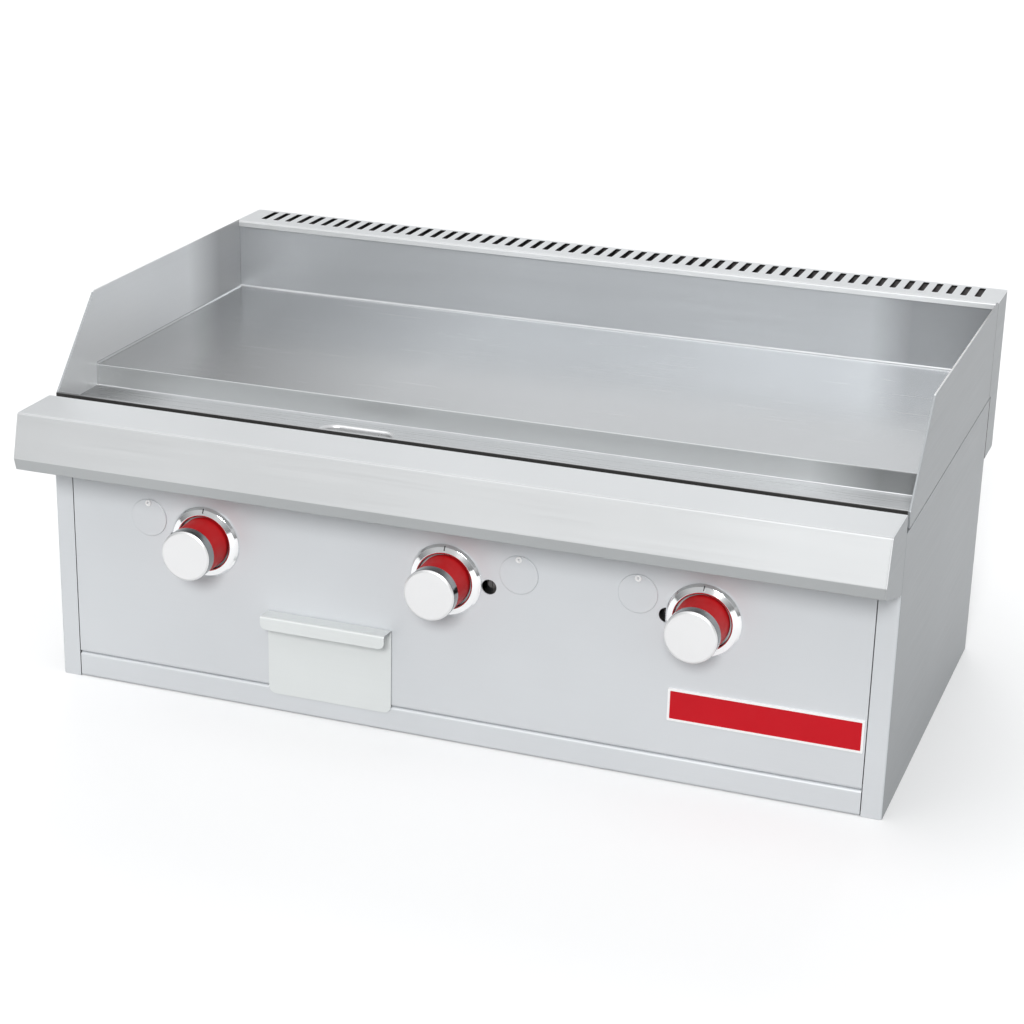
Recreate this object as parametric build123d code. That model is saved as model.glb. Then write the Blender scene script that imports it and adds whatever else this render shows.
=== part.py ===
"""Countertop gas flat top griddle, 36 inch class, as an assembly of separate pieces.

Millimetres. +X is to the right as the cook sees it, +Y runs back to the flue and +Z is up.
The origin is the middle of the bounding box's base.
"""
from build123d import *
import math
import os

# ---- driving dimensions ----
WIDTH = 914.0
DEPTH = 594.0
HEIGHT = 411.0
RAIL_REACH = 80.0        # front rail ahead of the control panel
RAIL_STEP = 2.5          # rail's rear wall ahead of the control panel
FLUE_DEPTH = 59.0        # splash back face to the rear wall
FLUE_OVERHANG = 50.0     # flue box behind the body
BODY_TOP = 301.0         # seam between the body and the splashes
PLATE_TOP = 329.0
PLATE_THICK = 25.0
KNOB_PITCH = 272.0
KNOB_MIDDLE = -6.0       # middle knob from the centre line
KNOB_Z = 182.0
SHEET = 1.5
SPLASH_SHEET = 2.0
BEND = 1.5               # inner radius of a fold
SEAM = 0.3               # gap left at a visible seam
NOSE_ROUNDING = 0.124    # what the rail's nose fold takes off its sharp corner

# ---- planes worked out from them ----
HALF = WIDTH / 2
INNER = HALF - SHEET
FRONT = -DEPTH / 2
BACK = DEPTH / 2
PANEL = FRONT + RAIL_REACH
PANEL_IN = PANEL + SHEET
BODY_BACK = BACK - FLUE_OVERHANG
SPLASH_BACK = BACK - FLUE_DEPTH
PLATE_FRONT = PANEL + 96
PLATE_LOW = PLATE_TOP - PLATE_THICK
FLANGE = 22.0            # front flange of a side panel
PANEL_HALF = HALF - FLANGE - SEAM
KICK_TOP = 28.0
PANEL_LOW = KICK_TOP + 0.6
PANEL_HIGH = 300.0

# ---- controls: knobs, lighting port covers and pilot holes ----
KNOB_X = [KNOB_MIDDLE - KNOB_PITCH, KNOB_MIDDLE, KNOB_MIDDLE + KNOB_PITCH]
PORT_X = [KNOB_X[0] - 66, KNOB_X[1] + 79, KNOB_X[2] - 68]
PILOT_X = [KNOB_X[0] - 38, KNOB_X[1] + 47, KNOB_X[2] - 38]
PORT_Z = 199.5
PORT_HOLE_R = 12.0
COVER_R = 20.5
COVER_DROP = 16.7        # pivot above the middle of the disc
COVER_THICK = 1.2
RIVET_R = 2.4
PILOT_HOLE_R = 8.0
PILOT_Z = 181.0
BEZEL_R = 39.0
BEZEL_BORE = 29.6
DRUM_LONG = 35.0         # red drum from the panel to the bright cap
STEM_HOLE_R = 12.0

# ---- gas train ----
MANIFOLD_Y = -193.0
MANIFOLD_Z = 140.0
PIPE_R = 13.35
PIPE_BORE = 10.5
SUPPLY_X = -400.0
SUPPLY_Z = 140.0
INLET_R = 13.1           # threaded end of the supply pipe
INLET_LONG = 20.0
VALVE_R = 11.0
PLUG_BORE = 6.0
STEM_R = 4.0
RUN_GAP = 0.05           # running clearance on a radius
BURNER_R = 19.0
BURNER_WALL = 1.6
BURNER_LEG = 70.0        # burner leg from the middle of its zone
VENTURI_R = 14.0
SHIELD_Y = -138.0
WINDOW = 32.0            # square lighting window in the heat shield
BURNER_FRONT = SHIELD_Y + 42
BURNER_MOUTH = -161.0
PORTS_A_LEG = 17
PILOT_HEAD = SHIELD_Y + 16

# ---- grease drawer, chute and scupper ----
DRAWER_X = -135.5
DRAWER_WIDE = 141.0
DRAWER_LOW = 21.0
DRAWER_HIGH = 116.0
PAN_WIDE = 119.0
PAN_DEEP = 300.0
PAN_LOW = 32.0
PAN_HIGH = 106.0
PAN_SHEET = 1.2
TROUGH_FRONT = PANEL + 11
TROUGH_LIP = 320.0
TROUGH_FLOOR = 305.0
SCUPPER_X = -130.0
SCUPPER_Y = PANEL + 57
SCUPPER_LONG = 80.0
SCUPPER_WIDE = 32.0
CHUTE_LOW = 114.0

# ---- air windows in the base pan ----
AIR_Y = 145.0
AIR_WIDE = 160.0
AIR_DEEP = 80.0

# ---- rear screws ----
REAR_SCREW_X = HALF - 10
REAR_SCREW_Z = [40.0, 120.0, 200.0]
SCREW_R = 2.0

# ---- flue cap ----
SLOTS = 56
SLOT_PITCH = 15.67
SLOT_LONG = 35.0
SLOT_WIDE = 6.0
SLOT_Y = BACK - 24.0


def block(x0, x1, y0, y1, z0, z1):
    """Box between two corners."""
    size = Box(x1 - x0, y1 - y0, z1 - z0)
    return Pos((x0 + x1) / 2, (y0 + y1) / 2, (z0 + z1) / 2) * size


def rod_x(y, z, r, x0, x1):
    return Pos((x0 + x1) / 2, y, z) * Rot(0, 90, 0) * Cylinder(r, x1 - x0)


def rod_y(x, z, r, y0, y1):
    return Pos(x, (y0 + y1) / 2, z) * Rot(90, 0, 0) * Cylinder(r, y1 - y0)


def rod_z(x, y, r, z0, z1):
    return Pos(x, y, (z0 + z1) / 2) * Cylinder(r, z1 - z0)


def turned(x, z, profile):
    """Body turned about the Y axis through (x, z). The profile is a list of (radius, y)."""
    face = make_face(Polyline(*profile, close=True))
    return Pos(x, 0, z) * revolve(face, Axis.Y)


def extrude_x(outline, x0, x1):
    """Face drawn as (y, z), stretched from x0 to x1."""
    return Pos(x0, 0, 0) * extrude(Plane.YZ * outline, x1 - x0, dir=(1, 0, 0))


def extrude_z(outline, z0, z1):
    """Face drawn as (x, y), stretched from z0 to z1."""
    return Pos(0, 0, z0) * extrude(outline, z1 - z0, dir=(0, 0, 1))


def folded(line, thick=SHEET, side=1, bend=BEND):
    """Face of a folded sheet. The sheet lies left of the line for side 1 and right for -1."""
    units = []
    for (ax, ay), (bx, by) in zip(line, line[1:]):
        run = math.hypot(bx - ax, by - ay)
        units.append(((bx - ax) / run, (by - ay) / run))
    other, near_r, far_r = [], [], []
    for i, (px, py) in enumerate(line):
        before = units[max(i - 1, 0)]
        after = units[min(i, len(units) - 1)]
        n1 = (-before[1] * side, before[0] * side)
        n2 = (-after[1] * side, after[0] * side)
        spread = thick / (1 + n1[0] * n2[0] + n1[1] * n2[1])
        other.append((px + spread * (n1[0] + n2[0]), py + spread * (n1[1] + n2[1])))
        turn = (before[0] * after[1] - before[1] * after[0]) * side
        end = i in (0, len(line) - 1)
        near_r.append(0 if end else bend + (thick if turn > 0 else 0))
        far_r.append(0 if end else bend + (0 if turn > 0 else thick))
    points = list(line) + other[::-1]
    radii = near_r + far_r[::-1]
    return make_face(FilletPolyline(*points, radius=radii, close=True))


def slot_z(x, y, long, wide, z0, z1):
    """Upright slug with round ends, long way along X."""
    return Pos(x, y, z0) * extrude(SlotOverall(long, wide), z1 - z0)


def mirror_x(shape):
    return mirror(shape, about=Plane.YZ)


# ---- body sheet metal ----
def side_panel():
    plan = [(-HALF + FLANGE, PANEL), (-HALF, PANEL), (-HALF, BODY_BACK), (-HALF + 20, BODY_BACK)]
    body = extrude_z(folded(plan, side=-1), 0, BODY_TOP)
    for low, wide in ((0, 20), (BODY_TOP - SHEET, 18)):
        body += block(-INNER, -INNER + wide, PANEL_IN, BODY_BACK - SHEET, low, low + SHEET)
    for z in REAR_SCREW_Z:
        body -= rod_y(-REAR_SCREW_X, z, SCREW_R + 0.1, BODY_BACK - 5, BODY_BACK + 5)
    return body


def control_panel():
    line = [(PANEL + 12, PANEL_LOW), (PANEL, PANEL_LOW), (PANEL, PANEL_HIGH), (PANEL + 9, PANEL_HIGH)]
    panel = extrude_x(folded(line, side=-1), -PANEL_HALF, PANEL_HALF)
    for side in (-1, 1):
        edge = side * (PANEL_HALF - SHEET / 2)
        panel += block(edge - SHEET / 2, edge + SHEET / 2, PANEL_IN, PANEL + 12, PANEL_LOW, PANEL_HIGH)
    left, right = DRAWER_X - PAN_WIDE / 2 - 3, DRAWER_X + PAN_WIDE / 2 + 3
    panel -= block(left, right, PANEL - 5, PANEL + 20, PANEL_LOW - 5, PAN_HIGH + 3)
    for knob, port, pilot in zip(KNOB_X, PORT_X, PILOT_X):
        panel -= rod_y(knob, KNOB_Z, STEM_HOLE_R, PANEL - 5, PANEL + 5)
        panel -= rod_y(port, PORT_Z, PORT_HOLE_R, PANEL - 5, PANEL + 5)
        panel -= rod_y(port, PORT_Z + COVER_DROP, RIVET_R, PANEL - 5, PANEL + 5)
        panel -= rod_y(pilot, PILOT_Z, PILOT_HOLE_R, PANEL - 5, PANEL + 5)
    return panel


def kick_strip():
    line = [(PANEL + 20, 0), (PANEL, 0), (PANEL, KICK_TOP), (PANEL + 10, KICK_TOP)]
    return extrude_x(folded(line, side=-1), -PANEL_HALF, PANEL_HALF)


def base_pan():
    """Floor of the body with an air window under each burner."""
    pan = block(-INNER, INNER, PANEL + 4, BODY_BACK - 2 * SHEET, SHEET, 2 * SHEET)
    for knob in KNOB_X:
        window = extrude(RectangleRounded(AIR_WIDE, AIR_DEEP, 8), 6)
        pan -= Pos(knob, AIR_Y, 0) * window
    return pan


def rear_panel():
    line = [(BODY_BACK - 14, 2 * SHEET), (BODY_BACK - SHEET, 2 * SHEET), (BODY_BACK - SHEET, 235)]
    panel = extrude_x(folded(line, side=1), -INNER + 2, INNER - 2)
    panel -= rod_y(SUPPLY_X, SUPPLY_Z, PIPE_R + 1.2, BODY_BACK - 10, BODY_BACK + 5)
    for z in REAR_SCREW_Z:
        for x in (-REAR_SCREW_X, REAR_SCREW_X):
            panel -= rod_y(x, z, SCREW_R + 0.1, BODY_BACK - 10, BODY_BACK + 5)
    return panel


def rear_screws():
    """Pan head screws that hold the rear panel to the side panels' rear flanges."""
    head = [(0, BODY_BACK), (4, BODY_BACK), (3.4, BODY_BACK + 2), (0, BODY_BACK + 2.6)]
    screws = []
    for z in REAR_SCREW_Z:
        for x in (-REAR_SCREW_X, REAR_SCREW_X):
            screws.append(rod_y(x, z, SCREW_R, BODY_BACK - 8, BODY_BACK + 0.5) + turned(x, z, head))
    return Compound(children=screws)


def rail_line():
    """Section of the front rail's hood from its rear lip over the nose to the panel."""
    return [
        (PANEL - RAIL_STEP, TROUGH_FLOOR - 4),
        (PANEL - RAIL_STEP, 321.4),
        (FRONT + 12, 321.4),
        (FRONT - NOSE_ROUNDING, 275),
        (FRONT + 4, 262),
        (PANEL - 6, 240),
        (PANEL, 240),
    ]


def front_rail():
    return extrude_x(folded(rail_line(), side=1), -HALF + SHEET, HALF - SHEET)


def rail_end_caps():
    """Flat ends welded on the hood, with its outline."""
    points = rail_line()[:-1] + [(PANEL, 240), (PANEL, TROUGH_FLOOR - 4)]
    radii = [0, 3, 3, 3, 3, 0, 0, 0]
    face = make_face(FilletPolyline(*points, radius=radii, close=True))
    left = extrude_x(face, -HALF, -HALF + SHEET)
    return Compound(children=[left, mirror_x(left)])


# ---- cooking top: plate, trough, splashes and flue ----
def griddle_plate():
    plate = block(-HALF + 2, HALF - 2, PLATE_FRONT, SPLASH_BACK, PLATE_LOW, PLATE_TOP)
    top_front = plate.edges().filter_by(Axis.X).sort_by(lambda e: e.center().Z - e.center().Y)[-1]
    return chamfer(top_front, 1.2)


def grease_trough():
    low = TROUGH_FLOOR - SPLASH_SHEET
    line = [(TROUGH_FRONT, TROUGH_LIP), (TROUGH_FRONT, low), (PLATE_FRONT, low)]
    wide = HALF - SPLASH_SHEET
    trough = extrude_x(folded(line, SPLASH_SHEET, side=1, bend=2), -wide, wide)
    rim = TROUGH_FRONT + SPLASH_SHEET / 2
    trough += rod_x(rim, TROUGH_LIP, SPLASH_SHEET * 0.8, -wide, wide)
    return trough - slot_z(SCUPPER_X, SCUPPER_Y, SCUPPER_LONG, SCUPPER_WIDE, low - 5, low + 9)


def grease_chute():
    """Obround neck that leads the grease from the scupper down over the drawer."""
    top = TROUGH_FLOOR - SPLASH_SHEET
    outer = slot_z(SCUPPER_X, SCUPPER_Y, SCUPPER_LONG + 3, SCUPPER_WIDE + 3, CHUTE_LOW, top)
    bore = slot_z(SCUPPER_X, SCUPPER_Y, SCUPPER_LONG, SCUPPER_WIDE, CHUTE_LOW - 1, top + 1)
    return outer - bore


def splash():
    """Left side splash: flat plate with a sloped front edge."""
    outline = [
        (TROUGH_FRONT + 2, BODY_TOP),
        (TROUGH_FRONT, BODY_TOP + 18),
        (PLATE_FRONT, HEIGHT),
        (SPLASH_BACK, HEIGHT),
        (SPLASH_BACK, BODY_TOP),
    ]
    face = make_face(FilletPolyline(*outline, radius=[1, 3, 5, 0, 0], close=True))
    return extrude_x(face, -HALF, -HALF + SPLASH_SHEET)


def backsplash():
    wide = HALF - SPLASH_SHEET
    return block(-wide, wide, SPLASH_BACK, SPLASH_BACK + SPLASH_SHEET, PLATE_LOW, HEIGHT - SHEET)


def flue_shell():
    """Open-topped flue box: rear wall, floor, front lip and two ends."""
    low = BODY_TOP - 72
    lip = BODY_BACK + SHEET
    line = [(lip, low - 16), (lip, low), (BACK, low), (BACK, HEIGHT - SHEET)]
    shell = extrude_x(folded(line, side=1), -HALF + SHEET, HALF - SHEET)
    end = block(-HALF, -HALF + SHEET, BODY_BACK, BACK, low, HEIGHT - SHEET)
    end += block(-HALF, -HALF + SHEET, SPLASH_BACK, BACK, BODY_TOP, HEIGHT - SHEET)
    return shell + end + mirror_x(end)


def vent_cap():
    front = SPLASH_BACK - 4
    line = [(front, HEIGHT - 7), (front, HEIGHT), (BACK, HEIGHT)]
    cap = extrude_x(folded(line, side=-1), -HALF, HALF)
    for side in (-1, 1):
        corner = Box(2 * (SPLASH_SHEET + SEAM), 2 * (SPLASH_BACK - front + SEAM), 30)
        cap -= Pos(side * HALF, front, HEIGHT) * corner
    first = -SLOT_PITCH * (SLOTS - 1) / 2
    hole = RectangleRounded(SLOT_WIDE, SLOT_LONG, 1.5)
    cuts = [
        Pos(first + i * SLOT_PITCH, SLOT_Y, HEIGHT - 5) * extrude(hole, 10)
        for i in range(SLOTS)
    ]
    return cap - cuts


# ---- fire box ----
def heat_shield():
    """Front wall of the fire box, with the burner inlets and the lighting ports through it."""
    line = [(SHIELD_Y, 60), (SHIELD_Y, 296), (SHIELD_Y + 14, 296)]
    shield = extrude_x(folded(line, side=-1), -INNER, INNER)
    left, right = DRAWER_X - PAN_WIDE / 2 - 8, DRAWER_X + PAN_WIDE / 2 + 8
    shield -= block(left, right, SHIELD_Y - 5, SHIELD_Y + 5, 50, PAN_HIGH + 8)
    holes = [(SUPPLY_X, SUPPLY_Z, PIPE_R + 1)]
    for knob, port, pilot in zip(KNOB_X, PORT_X, PILOT_X):
        holes += [(knob, KNOB_Z, VENTURI_R + 0.1), (pilot, PORT_Z - 34, 4)]
        shield -= block(port - WINDOW / 2, port + WINDOW / 2, SHIELD_Y - 5, SHIELD_Y + 5,
                        PORT_Z - WINDOW / 2, PORT_Z + WINDOW / 2)
    for x, z, r in holes:
        shield -= rod_y(x, z, r, SHIELD_Y - 5, SHIELD_Y + 5)
    return shield


def plate_bearer(y, turn):
    """Angle bar across the body that carries the plate. Its top leg runs back for turn 1."""
    line = [(y, PLATE_LOW - 28), (y, PLATE_LOW), (y + 28 * turn, PLATE_LOW)]
    reach = INNER - 18.1
    return extrude_x(folded(line, 3, side=-turn, bend=3), -reach, reach)


def burner_rest():
    """Bar across the back of the fire box that the burners' ends lie on."""
    z = KNOB_Z - BURNER_R
    line = [(BODY_BACK - 57, z - 40), (BODY_BACK - 57, z), (BODY_BACK - 17, z)]
    bar = extrude_x(folded(line, 2, side=-1, bend=2), -INNER, INNER)
    return bar - rod_y(SUPPLY_X, SUPPLY_Z, PIPE_R + 1, BODY_BACK - 70, BODY_BACK)


def burner_core(shrink):
    """Venturi, cross tube and U-shaped legs of the middle burner, thinner all round by shrink."""
    r = BURNER_R - shrink
    front, rear = BURNER_FRONT, BODY_BACK - 40 - BURNER_R
    left, right, start = -BURNER_LEG, BURNER_LEG, front - 12 + shrink
    path = FilletPolyline(
        (left, start, KNOB_Z), (left, rear, KNOB_Z), (right, rear, KNOB_Z), (right, start, KNOB_Z),
        radius=BURNER_LEG - 12,
    )
    legs = sweep(Plane(origin=path @ 0, z_dir=path % 0) * Circle(r), path=path)
    core = legs + rod_x(front, KNOB_Z, r, left, right)
    return core + rod_y(0, KNOB_Z, VENTURI_R - shrink, BURNER_MOUTH - shrink, front)


def burner():
    """Tubular burner: venturi inlet, cross tube and two legs joined by a bend at the back."""
    tube = burner_core(0) - burner_core(BURNER_WALL)
    ports = []
    for leg in (-BURNER_LEG, BURNER_LEG):
        for i in range(PORTS_A_LEG):
            ports.append(rod_z(leg, BURNER_FRONT + 24 + i * 12, 1.6, KNOB_Z, KNOB_Z + 30))
    return tube - ports


def air_shutter(x):
    """Cup on the venturi's mouth with air windows, turned to set the primary air."""
    r = VENTURI_R + 0.4
    cup = rod_y(x, KNOB_Z, r + 1.2, -162.6, -150) - rod_y(x, KNOB_Z, r, -161.4, -149)
    cup -= rod_y(x, KNOB_Z, 6.4, -165, -160)
    for turn in (45, 135, 225, 315):
        a = math.radians(turn)
        cup -= rod_y(x + 10 * math.cos(a), KNOB_Z + 10 * math.sin(a), 2.6, -165, -160)
    return cup


# ---- gas train ----
def manifold_pipe():
    """Gas manifold with an elbow on its left end and a cap on its right end."""
    y, z, fitting = MANIFOLD_Y, MANIFOLD_Z, PIPE_R + 3
    pipe = rod_x(y, z, PIPE_R, SUPPLY_X, 390) + rod_x(y, z, fitting, 378, 396)
    pipe += rod_x(y, z, fitting, SUPPLY_X - 18, SUPPLY_X + 20)
    pipe += rod_y(SUPPLY_X, z, fitting, y, y + 26)
    pipe -= rod_x(y, z, PIPE_BORE, SUPPLY_X - 12, 376)
    pipe -= rod_y(SUPPLY_X, z, PIPE_BORE, y, y + 30)
    pipe -= rod_y(SUPPLY_X, z, PIPE_R, y + 16, y + 30)
    for x in KNOB_X:
        pipe -= rod_z(x, y, 3.0, z, z + 30)
    for x in PILOT_X:
        pipe -= rod_z(x, y, 1.6, z, z + 30)
    return pipe


def supply_pipe():
    """Pipe from the manifold through the rear panel. Its threaded end is the gas inlet."""
    start, end = MANIFOLD_Y + 16, BACK - 8
    pipe = rod_y(SUPPLY_X, SUPPLY_Z, PIPE_R, start, end - INLET_LONG)
    pipe += rod_y(SUPPLY_X, SUPPLY_Z, INLET_R, end - INLET_LONG, end)
    return pipe - rod_y(SUPPLY_X, SUPPLY_Z, PIPE_BORE, start - 1, end + 1)


def pipe_clamps():
    """Straps that hold the manifold on the control panel's back."""
    clamps = []
    for x in (-210, 330):
        ring = rod_x(MANIFOLD_Y, MANIFOLD_Z, PIPE_R + 2, x - 9, x + 9)
        ring += block(x - 9, x + 9, PANEL_IN, MANIFOLD_Y, MANIFOLD_Z + 8, MANIFOLD_Z + 10)
        ring += block(x - 9, x + 9, PANEL_IN, PANEL_IN + 2, MANIFOLD_Z + 8, MANIFOLD_Z + 34)
        ring -= rod_x(MANIFOLD_Y, MANIFOLD_Z, PIPE_R, x - 10, x + 10)
        clamps.append(ring)
    return Compound(children=clamps)


def saddle(x, r, top):
    """Upright neck standing on the manifold."""
    neck = rod_z(x, MANIFOLD_Y, r, MANIFOLD_Z + 4, top)
    return neck - rod_x(MANIFOLD_Y, MANIFOLD_Z, PIPE_R, x - 20, x + 20)


def gas_valve(x):
    """Brass valve body: inlet neck on the manifold, plug bore and orifice hood."""
    body = saddle(x, 7, KNOB_Z) + rod_z(x, MANIFOLD_Y, 9, KNOB_Z - 20, KNOB_Z - 9)
    body += rod_y(x, KNOB_Z, VALVE_R, -209, -176)
    body += rod_y(x, KNOB_Z, 6, -176, -160)
    body += block(x - 15, x + 15, -209, -206, KNOB_Z - 9, KNOB_Z + 9)
    body -= rod_z(x, MANIFOLD_Y, 3, MANIFOLD_Z, KNOB_Z)
    body -= rod_y(x, KNOB_Z, PLUG_BORE, -210, -180)
    body -= rod_y(x, KNOB_Z, 3, -182, -162)
    return body - rod_y(x, KNOB_Z, 0.9, -164, -159)


def valve_stem(x):
    """Plug that turns in the valve body, with the stem that carries the knob."""
    stem = rod_y(x, KNOB_Z, PLUG_BORE - RUN_GAP, -208, -181)
    stem += rod_y(x, KNOB_Z, STEM_R, -236, -208)
    stem -= rod_y(x, KNOB_Z, 2.5, -196, -180)
    stem -= rod_x(-193, KNOB_Z, 2.0, x, x + 10)
    return stem - block(x - 5, x + 5, -237, -221, KNOB_Z + 2.6, KNOB_Z + 6)


def bezel(x):
    """Dished chrome ring behind the knob, with an index mark at the top."""
    profile = [
        (BEZEL_R - 1.2, PANEL), (BEZEL_R, PANEL - 0.5), (BEZEL_R, PANEL - 1.6), (BEZEL_R - 2.4, PANEL - 4.2),
        (BEZEL_BORE + 1.6, PANEL - 6.5), (BEZEL_BORE, PANEL - 5.9), (BEZEL_BORE, PANEL),
    ]
    ring = turned(x, KNOB_Z, profile)
    return ring - block(x - 0.6, x + 0.6, PANEL - 8, PANEL - 4.2, KNOB_Z + 30, KNOB_Z + BEZEL_R)


def knob_grip(x):
    """Red heat-proof drum of the knob, hollow behind, with a hub on the stem."""
    near, far = PANEL - DRUM_LONG, PANEL - 1
    drum = turned(x, KNOB_Z, [
        (0, far - 6), (9, far - 6), (9, far - 22), (24.5, far - 22), (24.5, far),
        (27.2, far), (27.5, far - 1.2), (26.9, near), (0, near),
    ])
    return drum - rod_y(x, KNOB_Z, STEM_R + RUN_GAP, -236, far)


def knob_cap(x):
    """Bright cap over the front of the drum, with a slightly crowned face."""
    near, far = PANEL - 48, PANEL - DRUM_LONG
    return turned(x, KNOB_Z, [
        (0, far), (27.3, far), (27.3, near + 2.2), (26.4, near + 0.8), (24.6, near), (0, near - 0.8),
    ])


def port_cover(x):
    """Swing disc over the lighting port, hanging from its rivet."""
    pivot = PORT_Z + COVER_DROP
    far = PANEL - 0.3
    disc = rod_y(x, PORT_Z, COVER_R, far - COVER_THICK, far)
    return disc - rod_y(x, pivot, RIVET_R + RUN_GAP, far - 5, far + 5)


def cover_rivets():
    """Hollow rivets that the swing discs turn on."""
    rivets = []
    far = PANEL - 0.3 - COVER_THICK - 0.3
    for x in PORT_X:
        z = PORT_Z + COVER_DROP
        rivet = rod_y(x, z, RIVET_R, far, PANEL_IN + 1.2)
        rivet += turned(x, z, [(0, far), (3.4, far), (3.0, far - 0.9), (2.2, far - 1.2), (0, far - 1.2)])
        rivet += rod_y(x, z, 3.6, PANEL_IN, PANEL_IN + 1.2)
        rivets.append(rivet - rod_y(x, z, 1.4, far - 2, far + 2.4))
    return Compound(children=rivets)


def pilot_valves():
    """Small brass valves on the manifold behind the pilot holes."""
    valves = []
    for x in PILOT_X:
        valve = saddle(x, 5, PILOT_Z) + rod_y(x, PILOT_Z, 7, -203, -180)
        valve += rod_y(x, PILOT_Z, 4, -180, -171)
        valve -= rod_z(x, MANIFOLD_Y, 1.6, MANIFOLD_Z, PILOT_Z)
        valve -= rod_y(x, PILOT_Z, 3.5, -204, -188)
        valves.append(valve - rod_y(x, PILOT_Z, 1.6, -190, -170))
    return Compound(children=valves)


def pilot_screw(x):
    """Slotted adjusting screw in the pilot valve."""
    screw = rod_y(x, PILOT_Z, 3.5 - RUN_GAP, -205.5, -189)
    screw += rod_y(x, PILOT_Z, 4.6, -206.5, -203.3)
    return screw - block(x - 0.6, x + 0.6, -208, -205, PILOT_Z - 5, PILOT_Z + 5)


def pilot_tubes():
    """Small gas tubes from the pilot valves back to the pilot burners."""
    tubes = []
    for x, port in zip(PILOT_X, PORT_X):
        aim = port + 14 if port < x else port - 14
        path = FilletPolyline(
            (x, -171, PILOT_Z), (x, -156, PILOT_Z), (x, -156, PORT_Z - 34),
            (x, PILOT_HEAD, PORT_Z - 34), (aim, PILOT_HEAD, PORT_Z - 34), (aim, PILOT_HEAD, PORT_Z - 16),
            radius=6,
        )
        ring = Circle(3.0) - Circle(2.0)
        tubes.append(sweep(Plane(origin=path @ 0, z_dir=path % 0) * ring, path=path))
    return Compound(children=tubes)


def pilot_burners():
    """Pilot heads beside each burner's lighting port."""
    heads = []
    for x, port in zip(PILOT_X, PORT_X):
        aim = port + 14 if port < x else port - 14
        head = rod_z(aim, PILOT_HEAD, 5, PORT_Z - 16, PORT_Z + 6)
        head += block(aim - 7, aim + 7, PILOT_HEAD, PILOT_HEAD + 9, PORT_Z + 4, PORT_Z + 6)
        heads.append(head - rod_z(aim, PILOT_HEAD, 2, PORT_Z - 17, PORT_Z + 4))
    return Compound(children=heads)


# ---- grease drawer ----
def drawer_front():
    """Folded front with its grip lip."""
    face = PANEL - SEAM - SHEET
    line = [(face, DRAWER_LOW), (face, DRAWER_HIGH - SHEET), (face - 18.5, DRAWER_HIGH - 0.5),
            (face - 18.5, DRAWER_HIGH - 14)]
    left, right = DRAWER_X - DRAWER_WIDE / 2, DRAWER_X + DRAWER_WIDE / 2
    front = extrude_x(folded(line, side=-1, bend=1), left, right)
    corners = []
    for edge in front.edges().filter_by(Axis.Y):
        middle = edge.center()
        if middle.Z < DRAWER_LOW + 1 and edge.length < 3:
            corners.append(edge)
    front = fillet(corners, 5.5)
    lip = [e for e in front.edges().filter_by(Axis.Y) if e.length < 3 and e.center().Z > DRAWER_HIGH - 20]
    return fillet(lip, 5)


def drawer_pan():
    left, right = DRAWER_X - PAN_WIDE / 2, DRAWER_X + PAN_WIDE / 2
    start = PANEL - SEAM
    pan = block(left, right, start, start + PAN_DEEP, PAN_LOW, PAN_HIGH)
    inside = block(left + PAN_SHEET, right - PAN_SHEET, start + PAN_SHEET, start + PAN_DEEP - PAN_SHEET,
                   PAN_LOW + PAN_SHEET, PAN_HIGH + 1)
    return pan - inside


def drawer_runners():
    """Rails on the base pan that guide the drawer."""
    left = DRAWER_X - PAN_WIDE / 2 - 2
    start, end = PANEL + 22, PANEL + PAN_DEEP + 6
    rail = block(left - SHEET, left, start, end, 2 * SHEET, 60)
    rail += block(left, left + 14, start, end, PAN_LOW - 2, PAN_LOW - 0.5)
    rail += block(left - 14, left, start, end, 2 * SHEET, 3 * SHEET)
    other = mirror(rail, about=Plane.YZ.offset(DRAWER_X))
    return Compound(children=[rail, other])


def nameplate():
    """Blank red plate with a raised bright border."""
    x, z = 333.5, 86.5
    plate = Box(199, 2.0, 35)
    plate = Pos(x, PANEL - 1.0, z) * plate
    return plate - Pos(x, PANEL - 2.0, z) * Box(193, 1.2, 29)


NODES = {
    "left_side_panel": side_panel(),
    "right_side_panel": mirror_x(side_panel()),
    "control_panel": control_panel(),
    "kick_strip": kick_strip(),
    "base_pan": base_pan(),
    "rear_panel": rear_panel(),
    "rear_screws": rear_screws(),
    "front_rail": front_rail(),
    "rail_end_caps": rail_end_caps(),
    "griddle_plate": griddle_plate(),
    "grease_trough": grease_trough(),
    "grease_chute": grease_chute(),
    "left_splash": splash(),
    "right_splash": mirror_x(splash()),
    "backsplash": backsplash(),
    "flue_shell": flue_shell(),
    "vent_cap": vent_cap(),
    "heat_shield": heat_shield(),
    "front_bearer": plate_bearer(PLATE_FRONT + 4, 1),
    "rear_bearer": plate_bearer(SPLASH_BACK - 8, -1),
    "burner_rest": burner_rest(),
    "manifold_pipe": manifold_pipe(),
    "supply_pipe": supply_pipe(),
    "pipe_clamps": pipe_clamps(),
    "cover_rivets": cover_rivets(),
    "pilot_valves": pilot_valves(),
    "pilot_tubes": pilot_tubes(),
    "pilot_burners": pilot_burners(),
    "drawer_runners": drawer_runners(),
    "drawer_front": drawer_front(),
    "drawer_pan": drawer_pan(),
    "nameplate": nameplate(),
}
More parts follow.
